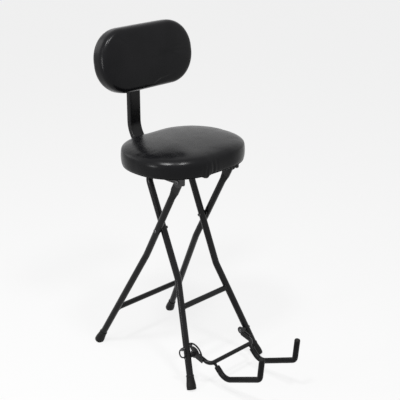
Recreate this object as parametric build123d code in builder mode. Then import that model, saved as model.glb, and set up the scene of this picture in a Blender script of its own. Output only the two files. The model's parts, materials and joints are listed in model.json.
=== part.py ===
from build123d import *
from math import atan2, cos, degrees, hypot, radians, sin, sqrt
import os

# Folding guitar stool with a fold-out cradle for one guitar.
# Millimetres, +Z up, floor at Z = 0, the sitter faces -Y and +X is on the sitter's left.

# Crossed legs, seen from the side
pivot_y = 71.5
pivot_z = 412.0
rear_foot_y = 290.5
front_foot_y = -103.0
outer_half_width = 96.8
outer_foot_half_width = 145.6
outer_bend_z = 324.0
inner_half_width = 74.7
inner_foot_half_width = 137.1
inner_bend_z = 277.0
leg_bend_radius = 70.0
tube_diameter = 19.0
tube_wall = 1.5
top_corner_radius = 32.0
top_bar_half_length = 41.0
rear_brace_z = 129.0
front_brace_z = 205.0
brace_diameter = 16.0
brace_wall = 1.2

# Flattened tops of the outer legs
tongue_width = 26.0
tongue_thickness = 5.0
tongue_length = 38.0
tongue_taper = 26.0
tongue_edge_radius = 2.0

# Rubber feet, in line with each leg
foot_diameter = 27.0
foot_neck_diameter = 22.0
front_foot_neck_diameter = 21.5
foot_length = 42.0
foot_socket_floor = 11.0
foot_edge_radius = 5.0

# Fasteners and fits
pivot_bolt_diameter = 8.0
small_bolt_diameter = 6.0
screw_diameter = 4.5
screw_head_diameter = 9.0
screw_head_height = 2.5
bolt_head_height = 4.5
pivot_head_height = 2.8
bolt_head_share = 1.7
nut_height = 6.0
pivot_nut_height = 4.0
nut_share = 1.75
rivet_head_height = 3.5
rivet_tail_height = 1.2
running_clearance = 0.08
fixed_clearance = 0.05
face_gap = 0.1
overrun = 1.0

# Seat
seat_y = 68.0
seat_length = 351.0
seat_depth = 287.0
seat_side_flat = 13.0
seat_bottom_z = 595.0
hinge_drop = 19.0
top_bar_drop = 33.0
seat_height = 60.0
board_thickness = 12.0
board_inset = 16.0
pocket_clearance = 0.3
seat_profile_shares = (
    (0.0, 0.05),
    (0.1, 0.014),
    (0.26, 0.0),
    (0.5, 0.003),
    (0.65, 0.016),
    (0.74, 0.045),
    (0.79, 0.09),
    (0.835, 0.17),
    (0.89, 0.33),
    (0.95, 0.57),
    (0.99, 0.8),
    (1.0, 0.92),
)
rail_wall = 3.0
rail_drop = 24.0
rail_flange = 25.0
rail_front_reach = 27.0
rail_length = 232.0
rail_eye_radius = 15.0
rail_washer = 1.0
rail_screw_pitch = 84.0
rail_screw_count = 3
rail_corner_radius = 6.0
catch_width = 18.0
catch_x = 31.0
catch_front = 13.0
catch_rear = 19.0
catch_below = 5.0
catch_gap = 0.3
catch_exit_angle = -121.5
catch_screw_inset = 4.8

# Backrest post
post_width = 40.0
post_thickness = 18.0
post_corner_radius = 5.0
post_wall = 1.5
post_y = 271.0
post_rise = 317.0
post_knee_rise = 45.0
post_knee_radius = 78.0
post_heel_y = 229.0
post_heel_radius = 72.0
post_front_y = 69.0
packing_thickness = 3.0
packing_width = 42.0
packing_length = 104.0
packing_y = 135.0
post_bolt_spacing = 74.0
post_cap_height = 4.0

# Backrest pad
back_lean = 8.8
back_y = 241.0
back_rise = 259.5
back_length = 327.0
back_height = 176.0
back_thickness = 50.0
back_side_flat = 10.0
back_board_thickness = 10.0
back_board_inset = 14.0
back_profile_shares = (
    (0.0, 0.06),
    (0.14, 0.012),
    (0.36, 0.0),
    (0.6, 0.01),
    (0.76, 0.045),
    (0.86, 0.105),
    (0.925, 0.2),
    (0.965, 0.36),
    (0.985, 0.58),
    (1.0, 0.88),
)
bracket_wall = 3.0
bracket_plate_width = 72.0
bracket_plate_height = 104.0
bracket_cheek_height = 92.0
bracket_cheek_depth = 39.0
bracket_bolt_spacing = 56.0
bracket_screw_x = 29.5
bracket_screw_spacing = 84.0

# Fold-out cradle
cradle_z = 82.0
quadrant_x = 95.5
quadrant_wall = 3.0
quadrant_radius = 33.0
quadrant_margin = 16.0
hub_radius = 11.0
lug_length = 36.0
lug_height = 14.0
cradle_travel = 92.0
lock_radius = 26.0
lock_pin_diameter = 6.0
lock_pin_slack = 0.3
lock_pin_head_diameter = 9.0
lock_pin_head_height = 8.2
lock_pin_tip = 0.9
yoke_diameter = 12.0
yoke_front_y = -123.0
yoke_front_z = 69.0
yoke_corner_radius = 16.0
yoke_wall = 1.5
arm_x = 71.0
arm_core_diameter = 8.0
arm_sleeve_diameter = 16.0
arm_low_y = -166.0
arm_low_z = 32.0
arm_rise_y = -292.0
arm_rise_z = 88.0
arm_tip_y = -298.0
arm_tip_z = 150.0
arm_low_radius = 34.0
arm_rise_radius = 16.0
sleeve_start = 14.0
tip_cap_height = 5.0
tip_cap_radius = 3.0
ring_diameter = 27.0
ring_wire = 4.0
ring_swing_share = 0.2
spacer_diameter = 12.0
pin_collar_diameter = 8.4
pin_collar_length = 2.0
spring_wire = 0.8
spring_length = 9.8
spring_turns = 5

os.makedirs("parts", exist_ok=True)

sides = {"right": -1, "left": 1}
tube_radius = tube_diameter / 2
seat_hinge_z = seat_bottom_z - hinge_drop
top_bar_z = seat_bottom_z - top_bar_drop
seat_corner_radius = (seat_depth - seat_side_flat) / 2
back_corner_radius = (back_height - back_side_flat) / 2
back_z = seat_bottom_z + back_rise
outer_lean = atan2(rear_foot_y - pivot_y, pivot_z)
inner_lean = atan2(pivot_y - front_foot_y, pivot_z)


def write(piece, name):
    piece.part.label = name
    export_step(piece.part, f"parts/{name}.step")


def leg_plane(lean):
    """The plane of one leg frame: X across, Y up the legs, from the scissor pivot."""
    return Plane(origin=(0, pivot_y, pivot_z), x_dir=(1, 0, 0), z_dir=(0, -cos(lean), -sin(lean)))


outer_plane = leg_plane(outer_lean)
inner_plane = leg_plane(-inner_lean)


def along(lean, z):
    """Distance up the legs from the pivot to the height z."""
    return (z - pivot_z) / cos(lean)


hinge_s = along(outer_lean, seat_hinge_z)
bar_s = along(inner_lean, top_bar_z)
hinge_y = pivot_y - hinge_s * sin(outer_lean)
bar_y = pivot_y + bar_s * sin(inner_lean)
cradle_s = along(inner_lean, cradle_z)
cradle_y = pivot_y + cradle_s * sin(inner_lean)


def leg_x(half, foot_half, bend_z, z):
    """Half width of a leg's axis at the height z."""
    if z >= bend_z:
        return half
    return half + (foot_half - half) * (bend_z - z) / bend_z


def outer_x(z):
    return leg_x(outer_half_width, outer_foot_half_width, outer_bend_z, z)


def inner_x(z):
    return leg_x(inner_half_width, inner_foot_half_width, inner_bend_z, z)


def foot_axis(plane, lean, side, half, foot_half, bend_z):
    """Plane at the floor end of a leg's axis, with Z up the leg."""
    floor_point = plane.from_local_coords((side * foot_half, along(lean, 0), 0))
    bend_point = plane.from_local_coords((side * half, along(lean, bend_z), 0))
    return Plane(origin=floor_point, x_dir=(0, 1, 0), z_dir=bend_point - floor_point)


outer_feet = {
    side: foot_axis(outer_plane, outer_lean, side, outer_half_width, outer_foot_half_width, outer_bend_z)
    for side in sides.values()
}
inner_feet = {
    side: foot_axis(inner_plane, inner_lean, side, inner_half_width, inner_foot_half_width, inner_bend_z)
    for side in sides.values()
}


def tube_end(plane, foot):
    """Where a leg tube ends inside its foot, in the leg frame's own plane."""
    local = plane.to_local_coords(foot.origin + foot.z_dir * foot_socket_floor)
    return (local.X, local.Y)


def x_axis_plane(x, y, z):
    """Plane at a point, facing along +X, for bolts and pins."""
    return Plane(origin=(x, y, z), x_dir=(0, 1, 0), z_dir=(1, 0, 0))


def rod(plane, radius, length, mode=Mode.ADD):
    with BuildSketch(plane) as section:
        Circle(radius)
    extrude(section.sketch, amount=length, mode=mode)


def hexagon(plane, radius, length, mode=Mode.ADD):
    with BuildSketch(plane) as section:
        RegularPolygon(radius, side_count=6)
    extrude(section.sketch, amount=length, mode=mode)


# Outer legs: rear feet, flattened tops on the seat hinge
for label, side in sides.items():
    tongue_start = hinge_s - tongue_length
    tube_top = tongue_start - tongue_taper
    bend_s = along(outer_lean, outer_bend_z)
    with BuildPart() as outer_leg:
        with BuildLine(outer_plane) as leg_line:
            FilletPolyline(
                (side * outer_half_width, tube_top),
                (side * outer_half_width, bend_s),
                tube_end(outer_plane, outer_feet[side]),
                radius=leg_bend_radius,
            )
        with BuildSketch(Plane(origin=leg_line.line @ 0, z_dir=leg_line.line % 0)):
            Circle(tube_radius)
            Circle(tube_radius - tube_wall, mode=Mode.SUBTRACT)
        sweep(path=leg_line.line)
        top_point = outer_plane.from_local_coords((side * outer_half_width, tube_top, 0))
        top_section = Plane(origin=top_point, x_dir=(1, 0, 0), z_dir=outer_plane.y_dir)
        with BuildSketch(top_section):
            Circle(tube_radius)
        with BuildSketch(top_section.offset(tongue_taper)):
            RectangleRounded(tongue_thickness, tongue_width, tongue_edge_radius)
        loft()
        tongue_plane = Plane(
            origin=outer_plane.from_local_coords((side * outer_half_width, hinge_s, 0)),
            x_dir=outer_plane.y_dir,
            z_dir=(1, 0, 0),
        )
        with BuildSketch(tongue_plane):
            Circle(tongue_width / 2)
            Rectangle(tongue_length, tongue_width, align=(Align.MAX, Align.CENTER))
        extrude(amount=tongue_thickness / 2, both=True)
        bolt_start = x_axis_plane(side * outer_half_width - tube_diameter, hinge_y, seat_hinge_z)
        rod(bolt_start, pivot_bolt_diameter / 2 + running_clearance, 2 * tube_diameter, Mode.SUBTRACT)
        pivot_start = x_axis_plane(side * outer_half_width - tube_diameter, pivot_y, pivot_z)
        rod(pivot_start, pivot_bolt_diameter / 2 + fixed_clearance, 2 * tube_diameter, Mode.SUBTRACT)
    write(outer_leg, f"outer_leg_{label}")

# Inner legs: front feet, bent in at the top to the cross bar that carries the seat
pin_y = cradle_y + lock_radius * sin(inner_lean)
pin_z = cradle_z + lock_radius * cos(inner_lean)
for label, side in sides.items():
    bend_s = along(inner_lean, inner_bend_z)
    with BuildPart() as inner_leg:
        with BuildLine(inner_plane) as leg_line:
            FilletPolyline(
                (side * top_bar_half_length, bar_s),
                (side * inner_half_width, bar_s),
                (side * inner_half_width, bend_s),
                tube_end(inner_plane, inner_feet[side]),
                radius=[top_corner_radius, leg_bend_radius],
            )
        with BuildSketch(Plane(origin=leg_line.line @ 0, z_dir=leg_line.line % 0)):
            Circle(tube_radius)
            Circle(tube_radius - tube_wall, mode=Mode.SUBTRACT)
        sweep(path=leg_line.line)
        pivot_start = x_axis_plane(side * inner_half_width - tube_diameter, pivot_y, pivot_z)
        rod(pivot_start, pivot_bolt_diameter / 2 + running_clearance, 2 * tube_diameter, Mode.SUBTRACT)
        cradle_start = x_axis_plane(side * inner_x(cradle_z) - tube_diameter, cradle_y, cradle_z)
        rod(cradle_start, small_bolt_diameter / 2 + fixed_clearance, 2 * tube_diameter, Mode.SUBTRACT)
        if side < 0:
            pin_start = x_axis_plane(side * inner_x(pin_z) - tube_diameter, pin_y, pin_z)
            rod(pin_start, lock_pin_diameter / 2 + running_clearance, 2 * tube_diameter, Mode.SUBTRACT)
    write(inner_leg, f"inner_leg_{label}")

with BuildPart() as inner_top_bar:
    bar_start = inner_plane.from_local_coords((-top_bar_half_length, bar_s, 0))
    with BuildSketch(Plane(origin=bar_start, z_dir=(1, 0, 0))):
        Circle(tube_radius)
        Circle(tube_radius - tube_wall, mode=Mode.SUBTRACT)
    extrude(amount=2 * top_bar_half_length)
write(inner_top_bar, "inner_top_bar")


def brace(plane, lean, z, half_width, feet):
    """A cross tube between two legs, its ends cut to the legs' round sides."""
    with BuildPart() as cross_tube:
        start = plane.from_local_coords((-half_width, along(lean, z), 0))
        with BuildSketch(Plane(origin=start, z_dir=(1, 0, 0))):
            Circle(brace_diameter / 2)
            Circle(brace_diameter / 2 - brace_wall, mode=Mode.SUBTRACT)
        extrude(amount=2 * half_width)
        for foot in feet.values():
            rod(foot, tube_radius, pivot_z, Mode.SUBTRACT)
    return cross_tube


write(brace(outer_plane, outer_lean, rear_brace_z, outer_x(rear_brace_z), outer_feet), "rear_brace")
write(brace(inner_plane, inner_lean, front_brace_z, inner_x(front_brace_z), inner_feet), "front_brace")


def rubber_foot(foot, neck_diameter):
    """A boot over the tube's end, cut flat at the floor."""
    side_plane = Plane(origin=foot.origin, x_dir=foot.x_dir, z_dir=foot.x_dir.cross(foot.z_dir))
    with BuildPart() as boot:
        with BuildSketch(side_plane):
            with BuildLine():
                Polyline(
                    (0, -foot_diameter / 2),
                    (foot_diameter / 2 - foot_edge_radius, -foot_diameter / 2),
                    (foot_diameter / 2, -foot_diameter / 4),
                    (foot_diameter / 2, foot_edge_radius),
                    (neck_diameter / 2, foot_length - foot_edge_radius),
                    (neck_diameter / 2, foot_length),
                    (tube_radius + fixed_clearance, foot_length),
                    (tube_radius + fixed_clearance, foot_socket_floor),
                    (0, foot_socket_floor),
                    close=True,
                )
            make_face()
        revolve(axis=Axis(foot.origin, foot.z_dir))
        ring_edges = boot.edges().filter_by(GeomType.CIRCLE).group_by(SortBy.RADIUS)[-1]
        fillet(ring_edges, foot_edge_radius / 2)
        split(bisect_by=Plane.XY, keep=Keep.TOP)
    return boot


for label, side in sides.items():
    write(rubber_foot(outer_feet[side], foot_neck_diameter), f"rear_foot_{label}")
    write(rubber_foot(inner_feet[side], front_foot_neck_diameter), f"front_foot_{label}")


def bolt(plane, diameter, length, head_height=bolt_head_height):
    """A domed bolt: its head stands behind the plane and its shank runs ahead of it."""
    with BuildSketch(plane.offset(-head_height)) as head:
        Circle(diameter / 2 * bolt_head_share)
    extrude(head.sketch, amount=head_height)
    rod(plane, diameter / 2, length)


def screw(plane, length):
    """A pan head screw, its head behind the plane."""
    rod(plane.offset(-screw_head_height), screw_head_diameter / 2, screw_head_height)
    rod(plane, screw_diameter / 2, length)


def nut(plane, diameter, height=nut_height):
    """A hexagon nut round a bolt that follows the plane's Z."""
    hexagon(plane, diameter / 2 * nut_share, height)
    rod(plane, diameter / 2 + fixed_clearance, height, Mode.SUBTRACT)


def inward(side, x, y, z):
    """Plane at a point of one side, facing the middle of the stool."""
    return Plane(origin=(side * x, y, z), x_dir=(0, 1, 0), z_dir=(-side, 0, 0))


# Scissor pivots: a bolt through both tubes each side, with a spacer between them
pivot_head_x = outer_half_width + tube_radius + face_gap
pivot_nut_x = inner_half_width - tube_radius - face_gap
spacer_outer_x = outer_half_width - tube_radius - face_gap
spacer_inner_x = inner_half_width + tube_radius + face_gap
with BuildPart() as pivot_bolts:
    for side in sides.values():
        grip = pivot_head_x - pivot_nut_x + pivot_nut_height
        start = inward(side, pivot_head_x, pivot_y, pivot_z)
        bolt(start, pivot_bolt_diameter, grip, pivot_head_height)
write(pivot_bolts, "pivot_bolts")
with BuildPart() as pivot_spacers:
    for side in sides.values():
        start = inward(side, spacer_outer_x, pivot_y, pivot_z)
        rod(start, tube_radius - overrun, spacer_outer_x - spacer_inner_x)
        bore_radius = pivot_bolt_diameter / 2 + fixed_clearance
        rod(start, bore_radius, spacer_outer_x - spacer_inner_x, Mode.SUBTRACT)
write(pivot_spacers, "pivot_spacers")
with BuildPart() as pivot_nuts:
    for side in sides.values():
        nut(inward(side, pivot_nut_x, pivot_y, pivot_z), pivot_bolt_diameter, pivot_nut_height)
write(pivot_nuts, "pivot_nuts")


# Seat board and cushion
def cushion(plane, length, depth, radius, height, shares, pocket_inset, pocket_depth):
    """A padded form: lofted through inset outlines, with a pocket for its board behind."""
    with BuildPart() as pad:
        for height_share, inset_share in shares:
            inset = inset_share * radius
            with BuildSketch(plane.offset(height_share * height)):
                RectangleRounded(length - 2 * inset, depth - 2 * inset, radius - inset)
        loft(ruled=True)
        with BuildSketch(plane):
            grown = pocket_inset - pocket_clearance
            RectangleRounded(length - 2 * grown, depth - 2 * grown, radius - grown)
        extrude(amount=pocket_depth, mode=Mode.SUBTRACT)
    return pad


seat_plane = Plane(origin=(0, seat_y, seat_bottom_z))
write(
    cushion(
        seat_plane, seat_length, seat_depth, seat_corner_radius, seat_height,
        seat_profile_shares, board_inset, board_thickness,
    ),
    "seat_cushion",
)

rail_inner_x = outer_half_width + tongue_thickness / 2 + rail_washer + 2 * face_gap
rail_outer_x = rail_inner_x + rail_wall
rail_front_y = hinge_y - rail_front_reach
rail_screw_x = rail_outer_x - rail_flange / 2 - rail_wall / 2
rail_screw_ys = [
    rail_front_y + rail_length / 2 + (index - (rail_screw_count - 1) / 2) * rail_screw_pitch
    for index in range(rail_screw_count)
]
catch_screw_y = bar_y + catch_rear - catch_screw_inset
post_bolt_ys = [packing_y - post_bolt_spacing / 2, packing_y + post_bolt_spacing / 2]

with BuildPart() as seat_board:
    with BuildSketch(seat_plane):
        RectangleRounded(
            seat_length - 2 * board_inset,
            seat_depth - 2 * board_inset,
            seat_corner_radius - board_inset,
        )
    extrude(amount=board_thickness)
    for side in sides.values():
        for y in rail_screw_ys:
            hole = Plane(origin=(side * rail_screw_x, y, seat_bottom_z))
            rod(hole, screw_diameter / 2 + fixed_clearance, board_thickness, Mode.SUBTRACT)
        hole = Plane(origin=(side * catch_x, catch_screw_y, seat_bottom_z))
        rod(hole, screw_diameter / 2 + fixed_clearance, board_thickness, Mode.SUBTRACT)
    for y in post_bolt_ys:
        hole = Plane(origin=(0, y, seat_bottom_z))
        rod(hole, pivot_bolt_diameter / 2 + fixed_clearance, board_thickness, Mode.SUBTRACT)
write(seat_board, "seat_board")

# Seat rails: steel angles under the board, with the hinge eyes at the front
for label, side in sides.items():
    with BuildPart() as seat_rail:
        web = x_axis_plane(side * rail_inner_x, rail_front_y, seat_bottom_z)
        with BuildSketch(web) as web_face:
            Rectangle(rail_length, rail_drop, align=(Align.MIN, Align.MAX))
            lower = web_face.vertices().group_by(Axis.Z)[0]
            fillet(lower, rail_corner_radius)
            with Locations((hinge_y - rail_front_y, seat_hinge_z - seat_bottom_z)):
                Circle(rail_eye_radius)
        extrude(amount=side * rail_wall)
        flange = Plane(origin=(side * rail_outer_x, rail_front_y, seat_bottom_z - rail_wall))
        with BuildSketch(flange):
            Rectangle(rail_flange, rail_length, align=(Align.MAX if side > 0 else Align.MIN, Align.MIN))
        extrude(amount=rail_wall)
        eye = x_axis_plane(side * rail_inner_x - side * overrun, hinge_y, seat_hinge_z)
        rod(eye, pivot_bolt_diameter / 2 + fixed_clearance, side * (rail_wall + 2 * overrun), Mode.SUBTRACT)
        for y in rail_screw_ys:
            hole = Plane(origin=(side * rail_screw_x, y, seat_bottom_z - rail_wall))
            rod(hole, screw_diameter / 2 + fixed_clearance, rail_wall, Mode.SUBTRACT)
    write(seat_rail, f"seat_rail_{label}")

with BuildPart() as rail_screws:
    for side in sides.values():
        for y in rail_screw_ys:
            start = Plane(origin=(side * rail_screw_x, y, seat_bottom_z - rail_wall))
            screw(start, rail_wall + board_thickness - overrun)
write(rail_screws, "rail_screws")

# Seat hinge: bolt, washer and nut each side
tongue_inner_x = outer_half_width - tongue_thickness / 2
with BuildPart() as hinge_bolts:
    for side in sides.values():
        grip = rail_outer_x - tongue_inner_x + face_gap + pivot_nut_height
        start = inward(side, rail_outer_x, hinge_y, seat_hinge_z)
        bolt(start, pivot_bolt_diameter, grip, pivot_head_height)
write(hinge_bolts, "hinge_bolts")
with BuildPart() as hinge_washers:
    for side in sides.values():
        start = inward(side, rail_inner_x, hinge_y, seat_hinge_z)
        rod(start, rail_eye_radius - rail_wall, rail_washer + face_gap)
        rod(start, pivot_bolt_diameter / 2 + fixed_clearance, rail_washer + face_gap, Mode.SUBTRACT)
write(hinge_washers, "hinge_washers")
with BuildPart() as hinge_nuts:
    for side in sides.values():
        start = inward(side, tongue_inner_x - face_gap, hinge_y, seat_hinge_z)
        nut(start, pivot_bolt_diameter, pivot_nut_height)
write(hinge_nuts, "hinge_nuts")

# Rear catches: hooks under the board that drop over the inner frame's top bar
for label, side in sides.items():
    with BuildPart() as catch:
        seat_gap = tube_radius + catch_gap
        with BuildSketch(x_axis_plane(side * catch_x, bar_y, top_bar_z)):
            with Locations((-catch_front, -catch_below)):
                Rectangle(
                    catch_front + catch_rear,
                    seat_bottom_z - top_bar_z + catch_below,
                    align=(Align.MIN, Align.MIN),
                )
            Circle(seat_gap, mode=Mode.SUBTRACT)
            with Locations(Location((0, 0, 0), (0, 0, catch_exit_angle))):
                Rectangle(
                    2 * (catch_front + catch_rear),
                    2 * seat_gap,
                    align=(Align.MIN, Align.CENTER),
                    mode=Mode.SUBTRACT,
                )
        extrude(amount=catch_width / 2, both=True)
        hole = Plane(origin=(side * catch_x, catch_screw_y, top_bar_z - catch_below))
        catch_height = seat_bottom_z - top_bar_z + catch_below
        rod(hole, screw_diameter / 2 + fixed_clearance, catch_height, Mode.SUBTRACT)
    write(catch, f"seat_catch_{label}")
with BuildPart() as catch_screws:
    for side in sides.values():
        start = Plane(origin=(side * catch_x, catch_screw_y, top_bar_z - catch_below))
        screw(start, catch_height + board_thickness - overrun)
write(catch_screws, "catch_screws")

# Backrest post: one bent flat-sided tube under the board and up behind the pad
post_run_z = seat_bottom_z - packing_thickness - post_thickness / 2
with BuildPart() as backrest_post:
    with BuildLine(Plane.YZ) as post_line:
        FilletPolyline(
            (post_y, seat_bottom_z + post_rise),
            (post_y, seat_bottom_z + post_knee_rise),
            (post_heel_y, post_run_z),
            (post_front_y, post_run_z),
            radius=[post_knee_radius, post_heel_radius],
        )
    with BuildSketch(Plane(origin=post_line.line @ 0, x_dir=(1, 0, 0), z_dir=post_line.line % 0)):
        RectangleRounded(post_width, post_thickness, post_corner_radius)
        RectangleRounded(
            post_width - 2 * post_wall,
            post_thickness - 2 * post_wall,
            post_corner_radius - post_wall,
            mode=Mode.SUBTRACT,
        )
    sweep(path=post_line.line)
    for y in post_bolt_ys:
        hole = Plane(origin=(0, y, post_run_z - post_thickness))
        rod(hole, pivot_bolt_diameter / 2 + fixed_clearance, 2 * post_thickness, Mode.SUBTRACT)
    bracket_bolt_zs = [back_z - bracket_bolt_spacing / 2, back_z + bracket_bolt_spacing / 2]
    for z in bracket_bolt_zs:
        hole = x_axis_plane(-post_width, post_y, z)
        rod(hole, small_bolt_diameter / 2 + fixed_clearance, 2 * post_width, Mode.SUBTRACT)
write(backrest_post, "backrest_post")

with BuildPart() as post_packing:
    with BuildSketch(Plane(origin=(0, packing_y, seat_bottom_z - packing_thickness))):
        RectangleRounded(packing_width, packing_length, post_corner_radius)
    extrude(amount=packing_thickness)
    for y in post_bolt_ys:
        hole = Plane(origin=(0, y, seat_bottom_z - packing_thickness))
        rod(hole, pivot_bolt_diameter / 2 + fixed_clearance, packing_thickness, Mode.SUBTRACT)
write(post_packing, "post_packing")

with BuildPart() as post_bolts:
    for y in post_bolt_ys:
        start = Plane(origin=(0, y, post_run_z - post_thickness / 2))
        bolt(start, pivot_bolt_diameter, post_thickness + packing_thickness + board_thickness - overrun)
write(post_bolts, "post_bolts")

with BuildPart() as post_caps:
    for end, direction in ((0, -1), (1, 1)):
        start = Plane(
            origin=post_line.line @ end,
            x_dir=(1, 0, 0),
            z_dir=(post_line.line % end) * direction,
        )
        with BuildSketch(start) as cap:
            RectangleRounded(post_width, post_thickness, post_corner_radius)
        extrude(cap.sketch, amount=post_cap_height)
write(post_caps, "post_caps")

# Backrest pad, on a leaning bracket that straddles the post
back_plane = Plane(
    origin=(0, back_y, back_z),
    x_dir=(1, 0, 0),
    z_dir=(0, -cos(radians(back_lean)), sin(radians(back_lean))),
)
write(
    cushion(
        back_plane, back_length, back_height, back_corner_radius, back_thickness,
        back_profile_shares, back_board_inset, back_board_thickness,
    ),
    "backrest_cushion",
)
bracket_screw_points = [
    (x, y)
    for x in (-bracket_screw_x, bracket_screw_x)
    for y in (-bracket_screw_spacing / 2, bracket_screw_spacing / 2)
]
with BuildPart() as backrest_board:
    with BuildSketch(back_plane):
        RectangleRounded(
            back_length - 2 * back_board_inset,
            back_height - 2 * back_board_inset,
            back_corner_radius - back_board_inset,
        )
        with Locations(*bracket_screw_points):
            Circle(screw_diameter / 2 + fixed_clearance, mode=Mode.SUBTRACT)
    extrude(amount=back_board_thickness)
write(backrest_board, "backrest_board")

cheek_x = post_width / 2 + face_gap + bracket_wall / 2
with BuildPart() as backrest_bracket:
    with BuildSketch(back_plane):
        RectangleRounded(bracket_plate_width, bracket_plate_height, rail_corner_radius)
        with Locations(*bracket_screw_points):
            Circle(screw_diameter / 2 + fixed_clearance, mode=Mode.SUBTRACT)
    extrude(amount=-bracket_wall)
    with BuildSketch(back_plane.offset(-bracket_wall)):
        with Locations((-cheek_x, 0), (cheek_x, 0)):
            Rectangle(bracket_wall, bracket_cheek_height)
    extrude(amount=-bracket_cheek_depth)
    for z in bracket_bolt_zs:
        hole = x_axis_plane(-post_width, post_y, z)
        rod(hole, small_bolt_diameter / 2 + fixed_clearance, 2 * post_width, Mode.SUBTRACT)
write(backrest_bracket, "backrest_bracket")

with BuildPart() as bracket_screws:
    for x, y in bracket_screw_points:
        point = back_plane.from_local_coords((x, y, -bracket_wall))
        start = Plane(origin=point, x_dir=back_plane.x_dir, z_dir=back_plane.z_dir)
        screw(start, bracket_wall + back_board_thickness - overrun)
write(bracket_screws, "bracket_screws")
with BuildPart() as bracket_bolts:
    for z in bracket_bolt_zs:
        cheek_outer_x = cheek_x + bracket_wall / 2
        bolt(inward(-1, cheek_outer_x, post_y, z), small_bolt_diameter, 2 * cheek_outer_x + nut_height)
write(bracket_bolts, "bracket_bolts")
with BuildPart() as bracket_nuts:
    for z in bracket_bolt_zs:
        nut(inward(-1, -cheek_outer_x, post_y, z), small_bolt_diameter)
write(bracket_nuts, "bracket_nuts")

# Cradle: a yoke that hinges on the front legs, with two padded arms
yoke_tilt = atan2(cradle_z - yoke_front_z, cradle_y - yoke_front_y)
yoke_length = hypot(cradle_z - yoke_front_z, cradle_y - yoke_front_y)
yoke_x = quadrant_x - quadrant_wall / 2 - yoke_diameter / 2
yoke_plane = Plane(
    origin=(0, cradle_y, cradle_z),
    x_dir=(1, 0, 0),
    z_dir=(0, sin(yoke_tilt), -cos(yoke_tilt)),
)
with BuildPart() as cradle_yoke:
    with BuildLine(yoke_plane) as yoke_line:
        FilletPolyline(
            (-yoke_x, hub_radius + overrun),
            (-yoke_x, yoke_length),
            (yoke_x, yoke_length),
            (yoke_x, hub_radius + overrun),
            radius=yoke_corner_radius,
        )
    with BuildSketch(Plane(origin=yoke_line.line @ 0, z_dir=yoke_line.line % 0)):
        Circle(yoke_diameter / 2)
        Circle(yoke_diameter / 2 - yoke_wall, mode=Mode.SUBTRACT)
    sweep(path=yoke_line.line)
write(cradle_yoke, "cradle_yoke")


def hinge_face(side):
    """Plane of a hinge plate's inner face: X forward, Y up, Z away from the middle."""
    return Plane(
        origin=(side * (quadrant_x - quadrant_wall / 2), cradle_y, cradle_z),
        x_dir=(0, -1, 0),
        z_dir=(-1, 0, 0),
    )


rest_angle = 90 + degrees(inner_lean)
slot_arc = CenterArc((0, 0), lock_radius, rest_angle - cradle_travel, cradle_travel)
for name, side in (("cradle_quadrant", -1), ("cradle_lug", 1)):
    with BuildPart() as hinge_plate:
        with BuildSketch(hinge_face(side)):
            Circle(hub_radius)
            with Locations(Location((0, 0, 0), (0, 0, -degrees(yoke_tilt)))):
                Rectangle(lug_length, lug_height, align=(Align.MIN, Align.CENTER))
            if side < 0:
                start_angle = rest_angle - cradle_travel - quadrant_margin
                sweep_angle = cradle_travel + 2 * quadrant_margin
                with BuildLine():
                    edge = CenterArc((0, 0), quadrant_radius, start_angle, sweep_angle)
                    Line((0, 0), edge @ 0)
                    Line(edge @ 1, (0, 0))
                make_face()
                SlotArc(slot_arc, lock_pin_diameter + 2 * lock_pin_slack, mode=Mode.SUBTRACT)
            Circle(small_bolt_diameter / 2 + running_clearance, mode=Mode.SUBTRACT)
        extrude(amount=-side * quadrant_wall)
    write(hinge_plate, name)

for label, side in sides.items():
    arm_plane = x_axis_plane(side * arm_x, 0, 0)
    first = Vector(yoke_front_y, yoke_front_z)
    second = Vector(arm_low_y, arm_low_z)
    sleeve_first = first + (second - first).normalized() * sleeve_start
    arm_points = [(arm_low_y, arm_low_z), (arm_rise_y, arm_rise_z), (arm_tip_y, arm_tip_z)]
    arm_radii = [arm_low_radius, arm_rise_radius]
    with BuildPart() as arm:
        with BuildLine(arm_plane) as arm_line:
            FilletPolyline((yoke_front_y, yoke_front_z), *arm_points, radius=arm_radii)
        with BuildSketch(Plane(origin=arm_line.line @ 0, z_dir=arm_line.line % 0)):
            Circle(arm_core_diameter / 2)
        sweep(path=arm_line.line)
        bar_start = x_axis_plane(side * arm_x - yoke_diameter, yoke_front_y, yoke_front_z)
        rod(bar_start, yoke_diameter / 2, 2 * yoke_diameter, Mode.SUBTRACT)
    write(arm, f"cradle_arm_{label}")
    with BuildPart() as sleeve:
        with BuildLine(arm_plane) as sleeve_line:
            FilletPolyline((sleeve_first.X, sleeve_first.Y), *arm_points, radius=arm_radii)
        with BuildSketch(Plane(origin=sleeve_line.line @ 0, z_dir=sleeve_line.line % 0)):
            Circle(arm_sleeve_diameter / 2)
            Circle(arm_core_diameter / 2 + fixed_clearance, mode=Mode.SUBTRACT)
        sweep(path=sleeve_line.line)
    write(sleeve, f"cradle_sleeve_{label}")
    with BuildPart() as tip:
        with BuildSketch(Plane(origin=sleeve_line.line @ 1, z_dir=sleeve_line.line % 1)):
            Circle(arm_sleeve_diameter / 2)
        extrude(amount=tip_cap_height)
        fillet(tip.faces().sort_by(Axis.Z)[-1].edges(), tip_cap_radius)
    write(tip, f"cradle_tip_{label}")

# Cradle hinge: rivet and spacer each side, held in the front legs
quadrant_outer_x = quadrant_x + quadrant_wall / 2
quadrant_inner_x = quadrant_x - quadrant_wall / 2
leg_slope_share = (inner_foot_half_width - inner_half_width) / inner_bend_z


def leg_face_x(z, reach):
    """Where a flat of the given radius stands clear of a front leg's sloping outer side."""
    return inner_x(z) + tube_radius * hypot(1, leg_slope_share) + reach * leg_slope_share + face_gap


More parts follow.
